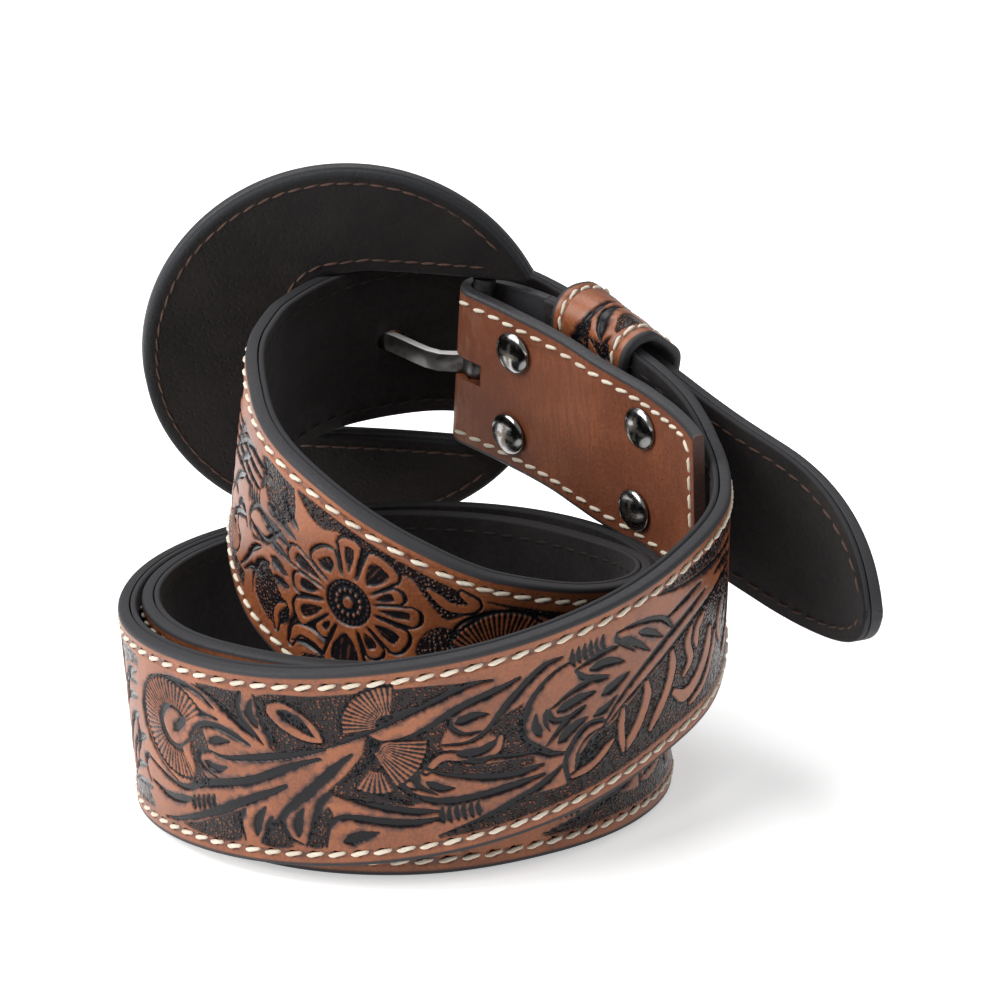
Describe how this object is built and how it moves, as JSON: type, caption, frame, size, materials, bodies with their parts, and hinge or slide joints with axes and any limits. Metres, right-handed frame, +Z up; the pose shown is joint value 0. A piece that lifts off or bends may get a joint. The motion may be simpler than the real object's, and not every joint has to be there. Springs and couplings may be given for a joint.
{
  "type": "leather belt",
  "caption": "Coiled Western belt of floral tooled leather, buckled through a large round leather buckle seen from its back, with a keeper and a pointed tip.",
  "frame": {"origin": "under the middle of the bounding box, on the floor that the coil's lower edge rests on", "axes": "+Z up along the coil's axis, -Y towards the picture's viewer, +X to the viewer's right, towards the strap's tip"},
  "size_m": [0.1564, 0.1446, 0.1196],
  "materials": {
    "tooled_leather": "antiqued brown, satin, with black edges",
    "black_lining": "matt, suede-like",
    "black_leather": "matt with a faint sheen",
    "plated_steel": "satin nickel plate",
    "polished_screw": "polished gunmetal"
  },
  "bodies": {
    "root": {"tooled_strap": "tooled_leather", "strap_lining": "black_lining", "keeper": "tooled_leather", "buckle_back": "black_leather", "buckle_front": "tooled_leather", "buckle_bar": "plated_steel", "prong": "plated_steel", "screw_1": "polished_screw", "screw_2": "polished_screw", "screw_3": "polished_screw", "screw_4": "polished_screw", "screw_post_1": "polished_screw", "screw_post_2": "polished_screw", "screw_post_3": "polished_screw", "screw_post_4": "polished_screw"}
  },
  "joints": []
}
